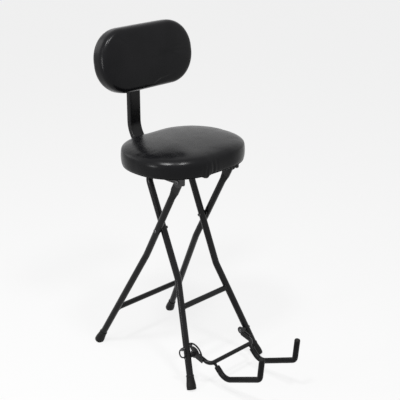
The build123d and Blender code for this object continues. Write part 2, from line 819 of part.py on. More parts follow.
with BuildPart() as cradle_rivets:
    for side in sides.values():
        tail_radius = small_bolt_diameter / 2 + rivet_tail_height
        tail_x = leg_face_x(cradle_z, tail_radius) + rivet_tail_height
        tail = inward(side, tail_x, cradle_y, cradle_z)
        rod(tail, tail_radius, rivet_tail_height)
        rod(tail, small_bolt_diameter / 2, tail_x - quadrant_inner_x + face_gap)
        head = inward(side, quadrant_inner_x - face_gap, cradle_y, cradle_z)
        rod(head, hub_radius / 2, rivet_head_height)
write(cradle_rivets, "cradle_rivets")
with BuildPart() as cradle_spacers:
    for side in sides.values():
        length = inner_x(cradle_z) - quadrant_outer_x - face_gap
        start = inward(side, inner_x(cradle_z), cradle_y, cradle_z)
        rod(start, spacer_diameter / 2, length)
        rod(start, small_bolt_diameter / 2 + fixed_clearance, length, Mode.SUBTRACT)
        rod(inner_feet[side], tube_radius + fixed_clearance, pivot_z / 2, Mode.SUBTRACT)
write(cradle_spacers, "cradle_spacers")

# Lock pin through the right front leg into the quadrant's slot, with its spring and pull ring
pin_head_x = leg_face_x(pin_z, lock_pin_head_diameter / 2)
collar_radius = pin_collar_diameter / 2
bore_half = sqrt((tube_radius - tube_wall) ** 2 - collar_radius**2) * hypot(1, leg_slope_share)
collar_x = inner_x(pin_z) - bore_half + collar_radius * leg_slope_share + face_gap
spring_x = collar_x + pin_collar_length + face_gap
ring_radius = (ring_diameter - ring_wire) / 2
ring_x = pin_head_x + lock_pin_head_height / 2
ring_down = Vector(-leg_slope_share, -ring_swing_share, -1).normalized()
ring_center = Vector(-ring_x, pin_y, pin_z) + ring_down * ring_radius
ring_plane = Plane(origin=ring_center, x_dir=(0, 1, 0), z_dir=Vector(0, 1, 0).cross(ring_down))
with BuildPart() as lock_pin:
    shank_length = pin_head_x - quadrant_inner_x + lock_pin_tip
    rod(inward(-1, pin_head_x, pin_y, pin_z), lock_pin_diameter / 2, shank_length)
    head = inward(-1, pin_head_x + lock_pin_head_height, pin_y, pin_z)
    rod(head, lock_pin_head_diameter / 2, lock_pin_head_height)
    rod(inward(-1, collar_x + pin_collar_length, pin_y, pin_z), collar_radius, pin_collar_length)
    with Locations(ring_plane):
        Torus(ring_radius, ring_wire / 2 + fixed_clearance, mode=Mode.SUBTRACT)
write(lock_pin, "lock_pin")
with BuildPart() as pull_ring:
    with Locations(ring_plane):
        Torus(ring_radius, ring_wire / 2)
write(pull_ring, "lock_pin_ring")
with BuildPart() as lock_spring:
    coil_radius = collar_radius - spring_wire / 2
    coil_height = spring_length - spring_wire
    coil_start = (-spring_x - spring_wire / 2 - coil_height, pin_y, pin_z)
    with BuildLine() as coil_line:
        Helix(
            coil_height / spring_turns, coil_height, coil_radius, center=coil_start, direction=(1, 0, 0),
        )
    with BuildSketch(Plane(origin=coil_line.line @ 0, z_dir=coil_line.line % 0)):
        Circle(spring_wire / 2)
    sweep(path=coil_line.line)
write(lock_spring, "lock_spring")
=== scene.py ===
import json
import random
from contextlib import contextmanager
from math import atan2, ceil, cos, exp, pi, radians, sin, sqrt

import bmesh
import bpy
from mathutils import Matrix, Vector
from mathutils.kdtree import KDTree
from mathutils.noise import noise


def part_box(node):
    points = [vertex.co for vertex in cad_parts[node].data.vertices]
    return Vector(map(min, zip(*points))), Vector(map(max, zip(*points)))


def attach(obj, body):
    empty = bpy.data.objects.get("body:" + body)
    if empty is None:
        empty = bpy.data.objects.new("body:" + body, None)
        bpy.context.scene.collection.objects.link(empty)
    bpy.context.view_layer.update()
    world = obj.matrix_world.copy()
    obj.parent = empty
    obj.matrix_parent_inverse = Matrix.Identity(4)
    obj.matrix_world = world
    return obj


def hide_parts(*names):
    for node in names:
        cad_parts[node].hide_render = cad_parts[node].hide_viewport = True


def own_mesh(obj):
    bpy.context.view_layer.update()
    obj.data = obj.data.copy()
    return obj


# Folding guitar stool with a fold-out cradle. Metres, floor at Z = 0, the sitter faces -Y.
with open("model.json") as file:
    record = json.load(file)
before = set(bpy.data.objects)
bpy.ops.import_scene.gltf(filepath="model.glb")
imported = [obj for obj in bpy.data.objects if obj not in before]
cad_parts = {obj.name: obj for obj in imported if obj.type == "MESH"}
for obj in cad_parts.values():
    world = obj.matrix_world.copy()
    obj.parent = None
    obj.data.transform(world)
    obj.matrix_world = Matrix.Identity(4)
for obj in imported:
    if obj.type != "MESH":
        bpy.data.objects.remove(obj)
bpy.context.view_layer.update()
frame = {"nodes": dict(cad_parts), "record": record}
nodes = frame["nodes"]
MM = 0.001
signs = (-1, 1)
sides = (("right", -1), ("left", 1))
corner_signs = ((1, -1), (1, 1), (-1, 1), (-1, -1))

# Leg frames
pivot_y = 71.5 * MM
pivot_z = 412 * MM
rear_foot_y = 290.5 * MM
front_foot_y = -103 * MM
outer_half_width = 96.8 * MM
outer_foot_half_width = 145.6 * MM
outer_bend_z = 324 * MM
inner_half_width = 74.7 * MM
inner_foot_half_width = 137.1 * MM
inner_bend_z = 277 * MM
tube_radius = 9.5 * MM
brace_radius = 8 * MM
rear_brace_z = 129 * MM
front_brace_z = 205 * MM
top_bar_half_length = 41 * MM
top_bar_z = 562 * MM

# Feet
foot_radius = 13.5 * MM
rear_neck_radius = 11 * MM
front_neck_radius = 10.75 * MM

# Seat and backrest
seat_side_flat = 13 * MM
seat_hinge_z = 576 * MM
back_y = 241 * MM
back_z = 854.5 * MM
back_lean = radians(8.8)
back_length = 327 * MM
back_height = 176 * MM
back_thickness = 50 * MM
back_side_flat = 10 * MM

# Cradle
cradle_z = 82 * MM
yoke_front = Vector((0, -123, 69)) * MM
yoke_radius = 6 * MM
arm_x = 71 * MM
arm_core_radius = 4 * MM
sleeve_radius = 8 * MM
sleeve_start = 14 * MM
arm_low = Vector((0, -166, 32)) * MM
arm_rise = Vector((0, -292, 88)) * MM
arm_tip = Vector((0, -298, 150)) * MM
arm_low_radius = 34 * MM
arm_rise_radius = 16 * MM


def linked(name, data):
    """A new object in the scene."""
    made = bpy.data.objects.new(name, data)
    bpy.context.scene.collection.objects.link(made)
    return made


# Camera at the photograph's place
camera_place = (-1.7107, -1.7275, 1.4435)
camera_lens = 86.19
camera_down = 21.32
camera_turn = -44.66


def make_camera():
    data = bpy.data.cameras.new("camera")
    data.sensor_width = 36
    data.lens = camera_lens
    data.clip_end = 100
    camera = linked("camera", data)
    camera.location = camera_place
    camera.rotation_euler = (radians(90 - camera_down), 0, radians(camera_turn))
    bpy.context.scene.camera = camera


# Materials
class Surface:
    """A node material, with its textures in metres."""

    def __init__(self, name, specular=0.5, metallic=0.0):
        self.material = bpy.data.materials.new(name)
        self.material.use_nodes = True
        self.tree = self.material.node_tree
        self.shader = self.tree.nodes["Principled BSDF"]
        self.shader.inputs["Metallic"].default_value = metallic
        self.shader.inputs["Specular IOR Level"].default_value = specular
        self.coordinates = self.node("ShaderNodeTexCoord").outputs["Object"]
        self.normal = None

    def node(self, kind, **values):
        made = self.tree.nodes.new(kind)
        for key, value in values.items():
            setattr(made, key, value)
        return made

    def link(self, source, target):
        self.tree.links.new(source, target)

    def noise(self, scale, detail, stretch=None, distortion=0.0):
        texture = self.node("ShaderNodeTexNoise")
        texture.inputs["Scale"].default_value = scale
        texture.inputs["Detail"].default_value = detail
        texture.inputs["Distortion"].default_value = distortion
        source = self.coordinates
        if stretch:
            mapping = self.node("ShaderNodeMapping")
            mapping.inputs["Scale"].default_value = stretch
            self.link(source, mapping.inputs["Vector"])
            source = mapping.outputs["Vector"]
        self.link(source, texture.inputs["Vector"])
        return texture.outputs["Fac"]

    def cells(self, scale, feature="F1"):
        texture = self.node("ShaderNodeTexVoronoi", feature=feature)
        texture.inputs["Scale"].default_value = scale
        self.link(self.coordinates, texture.inputs["Vector"])
        return texture.outputs["Distance"]

    def tint(self, value, first, second):
        """Base colour that runs from one colour to another with a value."""
        ramp = self.node("ShaderNodeValToRGB")
        for stop, color, place in zip(ramp.color_ramp.elements, (first, second), (0.3, 0.72)):
            stop.color = (*color, 1)
            stop.position = place
        self.link(value, ramp.inputs["Fac"])
        self.link(ramp.outputs["Color"], self.shader.inputs["Base Color"])

    def rough(self, value, low, high):
        """Roughness that runs from low to high with a value."""
        mapped = self.node("ShaderNodeMapRange")
        for name, number in (("From Min", 0.3), ("From Max", 0.7), ("To Min", low), ("To Max", high)):
            mapped.inputs[name].default_value = number
        self.link(value, mapped.inputs["Value"])
        self.link(mapped.outputs["Result"], self.shader.inputs["Roughness"])

    def bump(self, value, distance, strength):
        """Adds one layer of relief, with its depth in metres."""
        layer = self.node("ShaderNodeBump")
        layer.inputs["Distance"].default_value = distance
        layer.inputs["Strength"].default_value = strength
        self.link(value, layer.inputs["Height"])
        if self.normal:
            self.link(self.normal, layer.inputs["Normal"])
        self.normal = layer.outputs["Normal"]
        self.link(self.normal, self.shader.inputs["Normal"])


def make_tube_paint():
    """Gloss black enamel with orange peel and a little dust."""
    surface = Surface("tube_paint", specular=0.2)
    surface.tint(surface.noise(28, 5), (0.0035, 0.0035, 0.004), (0.007, 0.007, 0.0075))
    surface.rough(surface.noise(60, 4), 0.22, 0.31)
    surface.bump(surface.noise(360, 2), 0.0002, 0.12)
    return surface.material


def make_bracket_paint():
    """Satin powder coat on pressed steel."""
    surface = Surface("bracket_paint", specular=0.4)
    surface.tint(surface.noise(40, 4), (0.007, 0.007, 0.0075), (0.013, 0.013, 0.0135))
    surface.rough(surface.noise(150, 3), 0.36, 0.52)
    surface.bump(surface.noise(1400, 2), 0.00015, 0.25)
    return surface.material


def make_fastener_black():
    """Blackened steel, with brighter rubbed spots."""
    surface = Surface("fastener_black", metallic=0.8)
    surface.tint(surface.noise(260, 4), (0.035, 0.035, 0.036), (0.16, 0.16, 0.163))
    surface.rough(surface.noise(500, 3), 0.2, 0.36)
    surface.bump(surface.noise(2500, 2), 0.00005, 0.5)
    return surface.material


def make_zinc():
    """Bright plating, a little uneven."""
    surface = Surface("zinc", metallic=1.0)
    surface.tint(surface.noise(400, 4), (0.36, 0.36, 0.37), (0.62, 0.62, 0.63))
    surface.rough(surface.noise(700, 3), 0.24, 0.44)
    surface.bump(surface.noise(3000, 2), 0.00004, 0.6)
    return surface.material


def make_vinyl():
    """Smooth black leatherette: pebbled grain, faint creases, a soft shine."""
    surface = Surface("vinyl", specular=0.13)
    surface.tint(surface.noise(14, 5), (0.0035, 0.0035, 0.0042), (0.006, 0.006, 0.0068))
    surface.rough(surface.noise(35, 5), 0.22, 0.29)
    surface.bump(surface.noise(24, 3, distortion=0.3), 0.0010, 0.04)
    surface.bump(surface.cells(900, "SMOOTH_F1"), 0.00012, 0.07)
    surface.bump(surface.noise(2200, 3), 0.00006, 0.1)
    return surface.material


def make_rubber():
    """Moulded rubber with a matt skin."""
    surface = Surface("rubber", specular=0.18)
    surface.tint(surface.noise(60, 5), (0.003, 0.003, 0.003), (0.007, 0.007, 0.0068))
    surface.rough(surface.noise(120, 4), 0.4, 0.6)
    surface.bump(surface.noise(900, 4), 0.0002, 0.4)
    return surface.material


def make_foam():
    """Closed-cell foam sleeve with a fine skin."""
    surface = Surface("foam", specular=0.12)
    surface.tint(surface.noise(80, 4), (0.002, 0.002, 0.0024), (0.0045, 0.0045, 0.005))
    surface.rough(surface.noise(200, 3), 0.34, 0.5)
    surface.bump(surface.noise(120, 4), 0.0006, 0.2)
    surface.bump(surface.cells(1300), 0.0002, 0.3)
    return surface.material


def make_plastic():
    """Moulded plastic with a faint texture."""
    surface = Surface("plastic", specular=0.34)
    surface.tint(surface.noise(50, 3), (0.007, 0.007, 0.0075), (0.012, 0.012, 0.0125))
    surface.rough(surface.noise(160, 3), 0.34, 0.5)
    surface.bump(surface.noise(1600, 2), 0.0001, 0.4)
    return surface.material


def make_board():
    """Plywood stained black, with its grain along X."""
    surface = Surface("board", specular=0.3)
    grain = surface.noise(55, 6, stretch=(0.06, 1, 1), distortion=0.8)
    surface.tint(grain, (0.014, 0.013, 0.012), (0.048, 0.043, 0.038))
    surface.rough(surface.noise(90, 4), 0.5, 0.72)
    surface.bump(grain, 0.0004, 0.4)
    surface.bump(surface.noise(900, 3), 0.0001, 0.4)
    return surface.material


def make_steel():
    """Drawn spring wire."""
    surface = Surface("steel", metallic=1.0)
    surface.tint(surface.noise(500, 3), (0.35, 0.35, 0.35), (0.55, 0.55, 0.55))
    surface.rough(surface.noise(900, 3), 0.22, 0.4)
    return surface.material


tube_paint = make_tube_paint()
finishes = {
    "black_tube": tube_paint,
    "black_ring": tube_paint,
    "black_bracket": make_bracket_paint(),
    "black_fastener": make_fastener_black(),
    "zinc_screw": make_zinc(),
    "spring_steel": make_steel(),
    "black_vinyl": make_vinyl(),
    "plywood": make_board(),
    "black_rubber": make_rubber(),
    "black_plastic": make_plastic(),
    "black_foam": make_foam(),
}


def finish_nodes():
    """Gives each carried-over node the material of its slot in the record."""
    for entry in frame["record"]["subparts"]:
        mesh = nodes[entry["node"]].data
        mesh.materials.clear()
        mesh.materials.append(finishes[entry["material_slot"]])


# Mesh helpers
def new_object(name, mesh, body, slot, replaced=()):
    made = linked(name, mesh)
    mesh.materials.clear()
    mesh.materials.append(finishes[slot])
    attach(made, body)
    if replaced:
        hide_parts(*replaced)
    return made


def mesh_from(name, points, faces):
    mesh = bpy.data.meshes.new(name)
    mesh.from_pydata([tuple(p) for p in points], [], faces)
    mesh.update()
    mesh.shade_smooth()
    return mesh


@contextmanager
def edited(mesh):
    """A mesh's editable form, written back at the end."""
    form = bmesh.new()
    form.from_mesh(mesh)
    yield form
    form.to_mesh(mesh)
    form.free()


def sharpened(mesh, angle):
    """Marks edges sharper than an angle, so that flats stay flat."""
    with edited(mesh) as form:
        for edge in form.edges:
            if len(edge.link_faces) == 2 and edge.calc_face_angle(0) > radians(angle):
                edge.smooth = False
    return mesh


def axis_matrix(origin, direction, across):
    """Matrix whose Z runs along a direction and whose X lies near another."""
    z = Vector(direction).normalized()
    y = z.cross(Vector(across)).normalized()
    x = y.cross(z)
    matrix = Matrix((x, y, z)).transposed().to_4x4()
    matrix.translation = origin
    return matrix


def turns_of(steps):
    """Angles once round a circle."""
    return [2 * pi * step / steps for step in range(steps)]


def rings_mesh(name, rings, looped=False):
    """Skins closed rings with as many points each; a looped list's last ring joins its first."""
    count = len(rings[0])
    total = len(rings)
    points = [p for ring in rings for p in ring]
    faces = []
    for index in range(total if looped else total - 1):
        low, high = index * count, (index + 1) % total * count
        for step in range(count):
            following = (step + 1) % count
            faces.append((low + step, low + following, high + following, high + step))
    if not looped:
        faces.append(tuple(reversed(range(count))))
        faces.append(tuple(range(len(points) - count, len(points))))
    mesh = mesh_from(name, points, faces)
    with edited(mesh) as form:
        bmesh.ops.recalc_face_normals(form, faces=form.faces)
    return mesh


def joined(name, meshes):
    """One mesh made of several."""
    result = bpy.data.meshes.new(name)
    with edited(result) as form:
        for mesh in meshes:
            form.from_mesh(mesh)
    return result


def sweep_rings(centres, radius_at, steps):
    """Rings of a round section along a chain of points, with a radius for each point and angle."""
    rings = []
    side = None
    for index, centre in enumerate(centres):
        before = centres[max(index - 1, 0)]
        after = centres[min(index + 1, len(centres) - 1)]
        direction = (after - before).normalized()
        guess = side or (Vector((1, 0, 0)) if abs(direction.x) < 0.9 else Vector((0, 0, 1)))
        up = direction.cross(guess).normalized()
        side = up.cross(direction).normalized()
        ring = []
        for turn in turns_of(steps):
            ring.append(centre + (side * cos(turn) + up * sin(turn)) * radius_at(index, turn))
        rings.append(ring)
    return rings


def filleted(points, radii, spacing):
    """Points along straight runs joined by tangent arcs."""
    chain = [points[0]]
    for before, corner, after, radius in zip(points, points[1:], points[2:], radii):
        first = (before - corner).normalized()
        second = (after - corner).normalized()
        half = first.angle(second) / 2
        centre = corner + (first + second).normalized() * (radius / sin(half))
        start = corner + first * (radius * cos(half) / sin(half)) - centre
        end = corner + second * (radius * cos(half) / sin(half)) - centre
        turn = start.angle(end)
        normal = start.cross(end).normalized()
        steps = max(4, ceil(turn * radius / spacing))
        for index in range(steps + 1):
            chain.append(centre + Matrix.Rotation(turn * index / steps, 3, normal) @ start)
    chain.append(points[-1])
    dense = [chain[0]]
    for point in chain[1:]:
        start = dense[-1].copy()
        gap = point - start
        pieces = max(1, round(gap.length / spacing))
        dense.extend(start + gap * (index + 1) / pieces for index in range(pieces))
    return dense


# Fasteners, turned in rings round a matrix's Z axis
ring_steps = 48
sharp_angle = 34


def hexagon(angle):
    """Radius of a hexagon with corners at 1."""
    return cos(pi / 6) / cos((angle % (pi / 3)) - pi / 6)


def rounded_hexagon(angle):
    return min(hexagon(angle), 0.965)


def cross(angle):
    """Outline of a cross recess."""
    offset = abs((angle + pi / 4) % (pi / 2) - pi / 4)
    return 1.0 if offset < pi / 14 else max(0.34, 1 - (offset - pi / 14) * 4.5)


def turned_rings(matrix, profile, steps):
    """Rings through (radius, height) pairs, round unless an outline follows them."""
    rings = []
    for radius, height, *outline in profile:
        ring = []
        for turn in turns_of(steps):
            reach = radius * (outline[0](turn) if outline else 1.0)
            ring.append(matrix @ Vector((reach * cos(turn), reach * sin(turn), height)))
        rings.append(ring)
    return rings


def turned(matrix, profile):
    rings = turned_rings(matrix, profile, ring_steps)
    return sharpened(rings_mesh("turned", rings), sharp_angle)


def shank(radius, length, head_height):
    """The start of a head's profile: a shank that runs back along -Z."""
    return [(radius, -length), (radius, -0.02 * head_height)]


def domed_head(matrix, radius, height, shank_radius, shank_length):
    """Button head with a hexagon socket."""
    socket = radius * 0.44
    profile = shank(shank_radius, shank_length, height)
    profile += [(radius * 0.97, 0), (radius, 0.12 * height)]
    for turn in (12, 26, 40, 54, 66):
        angle = radians(turn)
        profile.append((radius * (0.5 + 0.5 * cos(angle)), height * (0.12 + 0.9 * sin(angle))))
    profile += [(socket * 1.1, height), (socket, height * 0.97, hexagon)]
    profile += [(socket, height * 0.35, hexagon), (socket * 0.3, height * 0.25)]
    return turned(matrix, profile)


def pan_head(matrix, radius, height, shank_radius, shank_length):
    """Pan head with a cross recess."""
    dome_shares = ((0.96, 0), (1, 0.15), (0.98, 0.5), (0.86, 0.8), (0.68, 0.95), (0.58, 1))
    profile = shank(shank_radius, shank_length, height)
    profile += [(radius * out, height * up) for out, up in dome_shares]
    profile += [(radius * 0.54, 0.97 * height, cross), (radius * 0.34, 0.35 * height, cross)]
    profile.append((radius * 0.08, 0.3 * height))
    return turned(matrix, profile)


def hex_nut(matrix, radius, height, bore):
    """Hexagon nut with chamfered corners, and the bolt's end in it."""
    profile = [(radius * 0.86, 0), (radius * 0.97, 0.12 * height, rounded_hexagon)]
    profile += [(radius, 0.16 * height, hexagon), (radius, 0.84 * height, hexagon)]
    profile += [(radius * 0.97, 0.88 * height, rounded_hexagon), (radius * 0.86, height)]
    thread_shares = ((1.1, 1), (1.02, 0.93), (0.94, 0.9), (0.92, 0.99), (0.75, 1))
    profile += [(bore * out, height * up) for out, up in thread_shares]
    return turned(matrix, profile)


def rivet_head(matrix, radius, height, shank_radius, shank_length):
    """Plain domed head."""
    profile = shank(shank_radius, shank_length, height) + [(radius * 0.97, 0)]
    for turn in (0, 18, 36, 54, 70, 82):
        angle = radians(turn)
        profile.append((radius * cos(angle), height * (0.1 + 0.9 * sin(angle))))
    return turned(matrix, profile)


def replaced_fasteners(name, body, meshes, slot="black_fastener"):
    """One piece of several fasteners in place of a node."""
    new_object(f"{name}_detail", joined(name, meshes), body, slot, [name])


def outward(side, x, y, z):
    """Matrix on one side of the stool, with Z away from the middle."""
    return axis_matrix((side * x, y, z), (side, 0, 0), (0, 1, 0))


def inward(side, x, y, z):
    return outward(-side, -x, y, z)


def node_ends(node):
    """The outermost and innermost |x| of a node that has one piece on each side."""
    xs = [abs(v.co.x) for v in nodes[node].data.vertices]
    return max(xs), min(xs)


# Bolts
pin_head = 6.8 * MM
pin_head_height = 2.8 * MM
bolt_radius = 4 * MM
post_head_height = 4.5 * MM
bracket_bolt_radius = 3 * MM
bracket_head = 5.1 * MM
bracket_head_height = 2.55 * MM
# Radius and height of the heads, then of the nuts; both show lower at the scissor pivots
hinge_sizes = (pin_head, pin_head_height, 7 * MM, 4 * MM)
pivot_sizes = (5.4 * MM, 1.9 * MM, 5.4 * MM, 1.8 * MM)


def make_hinge_fasteners(name, body, y, z, head, head_height, nut, nut_height):
    """Bolt heads outside and nuts inside, on both sides."""
    head_face, bolt_end = node_ends(f"{name}_bolts")
    nut_seat = node_ends(f"{name}_nuts")[0]
    length = head_face - pin_head_height - bolt_end
    heads = []
    nuts = []
    for side in signs:
        matrix = outward(side, head_face - pin_head_height, y, z)
        heads.append(domed_head(matrix, head, head_height, bolt_radius, length))
        nuts.append(hex_nut(inward(side, nut_seat, y, z), nut, nut_height, bolt_radius))
    replaced_fasteners(f"{name}_bolts", body, heads)
    replaced_fasteners(f"{name}_nuts", body, nuts)


def make_post_bolts():
    low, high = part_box("post_bolts")
    bolts = []
    for y in (low.y + pin_head, high.y - pin_head):
        matrix = axis_matrix((0, y, low.z + post_head_height), (0, 0, -1), (1, 0, 0))
        length = high.z - low.z - post_head_height
        bolts.append(domed_head(matrix, pin_head, post_head_height, bolt_radius, length))
    replaced_fasteners("post_bolts", "seat", bolts)


def make_bracket_bolts():
    low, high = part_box("bracket_bolts")
    nut_low, nut_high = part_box("bracket_nuts")
    y = (low.y + high.y) / 2
    nut = (nut_high.y - nut_low.y) / 2
    length = high.x - low.x - bracket_head_height
    bolts = []
    nuts = []
    for z in (low.z + bracket_head, high.z - bracket_head):
        matrix = outward(-1, -low.x - bracket_head_height, y, z)
        bolts.append(domed_head(matrix, bracket_head, bracket_head_height, bracket_bolt_radius, length))
        place = outward(1, nut_low.x, y, z)
        nuts.append(hex_nut(place, nut, nut_high.x - nut_low.x, bracket_bolt_radius))
    replaced_fasteners("bracket_bolts", "seat", bolts)
    replaced_fasteners("bracket_nuts", "seat", nuts)


# Screws
screw_head = 4.5 * MM
screw_height = 2.5 * MM
screw_shank = 2.2 * MM
screw_length = 8 * MM
bracket_screw_x = 29.5 * MM
bracket_screw_y = 42 * MM
bracket_screw_z = -3 * MM


def make_screws(node, matrix, places):
    """Pan-head screws driven up from places in a frame, each turned at random."""
    turning = matrix.to_3x3()
    screws = []
    for place in places:
        turn = random.uniform(0, pi / 2)
        across = turning @ Vector((cos(turn), sin(turn), 0))
        head = axis_matrix(matrix @ Vector(place), turning @ Vector((0, 0, -1)), across)
        screws.append(pan_head(head, screw_head, screw_height, screw_shank, screw_length))
    replaced_fasteners(node, "seat", screws, "zinc_screw")


def underside_places(box, shares):
    """Places under the seat on both sides, at shares of a box's length along Y."""
    low, high = box
    first, last = low.y + screw_head, high.y - screw_head
    ys = [first + (last - first) * share for share in shares]
    return [(side * (high.x - screw_head), y, low.z + screw_height) for side in signs for y in ys]


def make_seat_screws():
    make_screws("rail_screws", Matrix(), underside_places(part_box("rail_screws"), (0, 0.5, 1)))
    make_screws("catch_screws", Matrix(), underside_places(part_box("catch_screws"), (0.5,)))


def make_bracket_screws():
    places = [(x * bracket_screw_x, y * bracket_screw_y, bracket_screw_z) for x in signs for y in signs]
    make_screws("bracket_screws", back_matrix, places)


# Rivets
rivet_tail = 4.2 * MM
rivet_tail_height = 1.2 * MM
rivet_button = 5.5 * MM
rivet_button_height = 3.5 * MM
rivet_radius = 3 * MM
rivet_length = 12 * MM


def make_rivets():
    low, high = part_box("cradle_rivets")
    y = (low.y + high.y) / 2
    tail_face, head_face = node_ends("cradle_rivets")
    rivets = []
    for side in signs:
        tail = outward(side, tail_face - rivet_tail_height, y, cradle_z)
        rivets.append(rivet_head(tail, rivet_tail, rivet_tail_height, rivet_radius, rivet_length))
        head = inward(side, head_face + rivet_button_height, y, cradle_z)
        rivets.append(rivet_head(head, rivet_button, rivet_button_height, rivet_radius, rivet_length))
    replaced_fasteners("cradle_rivets", "inner_frame", rivets)


# Leg lines
def leg_line(side, half, foot_half, foot_y, bend_z):
    """Foot point on the floor, and the direction up the leg's lower part."""
    slope = (foot_y - pivot_y) / pivot_z
    foot = Vector((side * foot_half, foot_y, 0))
    bend = Vector((side * half, pivot_y + (pivot_z - bend_z) * slope, bend_z))
    return foot, (bend - foot).normalized()


def outer_line(side):
    return leg_line(side, outer_half_width, outer_foot_half_width, rear_foot_y, outer_bend_z)


def inner_line(side):
    return leg_line(side, inner_half_width, inner_foot_half_width, front_foot_y, inner_bend_z)


# Rubber boots: shares of the foot's or the neck's radius, with heights in millimetres
foot_wear = 3.5
base_shares = ((0.5, -1.6), (0.8, -1.5), (0.94, -0.9), (1, 0.8), (1, 3.6), (0.975, 4.6), (1, 5.6))
lip_shares = ((0.985, 36), (1, 37), (1.035, 38.2), (1.03, 40.2), (0.99, 41.6))
bell_start = 11
bell_end = 34.5
mouth_height = 42 * MM
mouth_depth = 0.8 * MM
mouth_gap = 0.4 * MM
mouth_grip = 0.3 * MM
boot_steps = 56
boot_sharp_angle = 50


def make_boot(name, body, line, neck_radius):
    """A boot square to the leg, with a rolled lip and a grooved base, worn flat at the floor."""
    foot, direction = line
    end = foot_radius * sqrt(1 - direction.z**2) / direction.z / MM - foot_wear
    profile = [(foot_radius * share, (end + height) * MM) for share, height in base_shares]
    start = bell_start + end / 3
    for index in range(9):
        share = index / 8
        eased = share * share * (3 - 2 * share) * 0.45 + share * 0.55
        radius = foot_radius + (neck_radius - foot_radius) * eased
        profile.append((radius, (start + (bell_end - start) * share) * MM))
    profile += [(neck_radius * share, height * MM) for share, height in lip_shares]
    profile.append((tube_radius + mouth_gap, mouth_height))
    profile.append((tube_radius - mouth_grip, mouth_height - mouth_depth))
    matrix = axis_matrix(foot, direction, (0, 1, 0))
    mesh = rings_mesh(name, turned_rings(matrix, profile, boot_steps))
    with edited(mesh) as form:
        everything = form.verts[:] + form.edges[:] + form.faces[:]
        cut = bmesh.ops.bisect_plane(
            form, geom=everything, plane_co=(0, 0, 0), plane_no=(0, 0, -1), clear_outer=True
        )
        rim = [item for item in cut["geom_cut"] if isinstance(item, bmesh.types.BMEdge)]
        bmesh.ops.contextual_create(form, geom=rim)
        bmesh.ops.recalc_face_normals(form, faces=form.faces)
    new_object(f"{name}_boot", sharpened(mesh, boot_sharp_angle), body, "black_rubber", [name])


# Weld beads
seam_steps = 56
bead_steps = 10
brace_bead = 1.3 * MM
cradle_bead = 1.1 * MM
top_bar_bead = 0.7 * MM


def seam_points(centre, along, radius, other, start):
    """The line on a round bar where it meets another tube, given as (point, direction, radius)."""
    other_point, other_direction, other_radius = other
    side = along.cross(Vector((0, 0, 1)) if abs(along.z) < 0.9 else Vector((0, 1, 0))).normalized()
    up = side.cross(along)
    points = []
    for turn in turns_of(seam_steps):
        base = centre + (side * cos(turn) + up * sin(turn)) * radius
        offset = base - other_point
        across = along - other_direction * along.dot(other_direction)
        away = offset - other_direction * offset.dot(other_direction)
        a = across.dot(across)
        b = 2 * across.dot(away)
        root = sqrt(max(b * b - 4 * a * (away.dot(away) - other_radius**2), 0))
        answers = ((-b - root) / (2 * a), (-b + root) / (2 * a))
        points.append(base + along * min(answers, key=lambda t: abs(t - start)))
    return points


def bead_mesh(points, centre, along, bead, seed):
    """A rippled weld along a closed line round an axis."""
    count = len(points)
    turns = turns_of(bead_steps)
    rings = []
    for index, here in enumerate(points):
        direction = (points[(index + 1) % count] - points[index - 1]).normalized()
        out = (here - centre - along * (here - centre).dot(along)).normalized()
        across = direction.cross(out).normalized()
        ripple = 1 + 0.16 * sin(index * pi / 2) + 0.18 * noise(Vector((index * 0.7, seed, 0)))
        rings.append([here + (out * cos(turn) + across * sin(turn)) * bead * ripple for turn in turns])
    return rings_mesh("bead", rings, looped=True)


def make_brace_welds(name, body, line_of, z):
    meshes = []
    for side in signs:
        foot, direction = line_of(side)
        point = foot + direction * (z / direction.z)
        centre = Vector((0, point.y, z))
        along = Vector((side, 0, 0))
        other = (foot, direction, tube_radius)
        points = seam_points(centre, along, brace_radius, other, abs(point.x) - tube_radius)
        meshes.append(bead_mesh(points, centre, along, brace_bead, side * 3.1 + z))
    new_object(name, joined(name, meshes), body, "black_tube")


def make_cradle_welds():
    """Beads where the arms' cores meet the yoke's bar."""
    meshes = []
    along = (arm_low - yoke_front).normalized()
    for side in signs:
        centre = yoke_front + Vector((side * arm_x, 0, 0))
        other = (centre, Vector((1, 0, 0)), yoke_radius)
        points = seam_points(centre, along, arm_core_radius, other, yoke_radius)
        meshes.append(bead_mesh(points, centre, along, cradle_bead, side))
    new_object("cradle_welds", joined("cradle_welds", meshes), "cradle", "black_tube")


def make_top_bar_welds():
    low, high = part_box("inner_top_bar")
    y = (low.y + high.y) / 2
    along = Vector((1, 0, 0))
    meshes = []
    for side in signs:
        centre = Vector((side * top_bar_half_length, y, top_bar_z))
        points = [centre + Vector((0, cos(turn), sin(turn))) * tube_radius for turn in turns_of(seam_steps)]
        meshes.append(bead_mesh(points, centre, along, top_bar_bead, side))
    new_object("top_bar_welds", joined("top_bar_welds", meshes), "inner_frame", "black_tube")


# Foam sleeves on the cradle's arms, and tips: heights in millimetres, shares of the sleeve's radius
tip_shares = ((-1.2, 0.96), (0, 1.005), (1.4, 1.0), (2.8, 0.955), (3.9, 0.86), (4.6, 0.7), (5, 0.4))
sleeve_steps = 32
sleeve_spacing = 2.5 * MM
sleeve_lump_share = 0.018
sleeve_end_share = 0.93
sleeve_mouth_share = 0.52


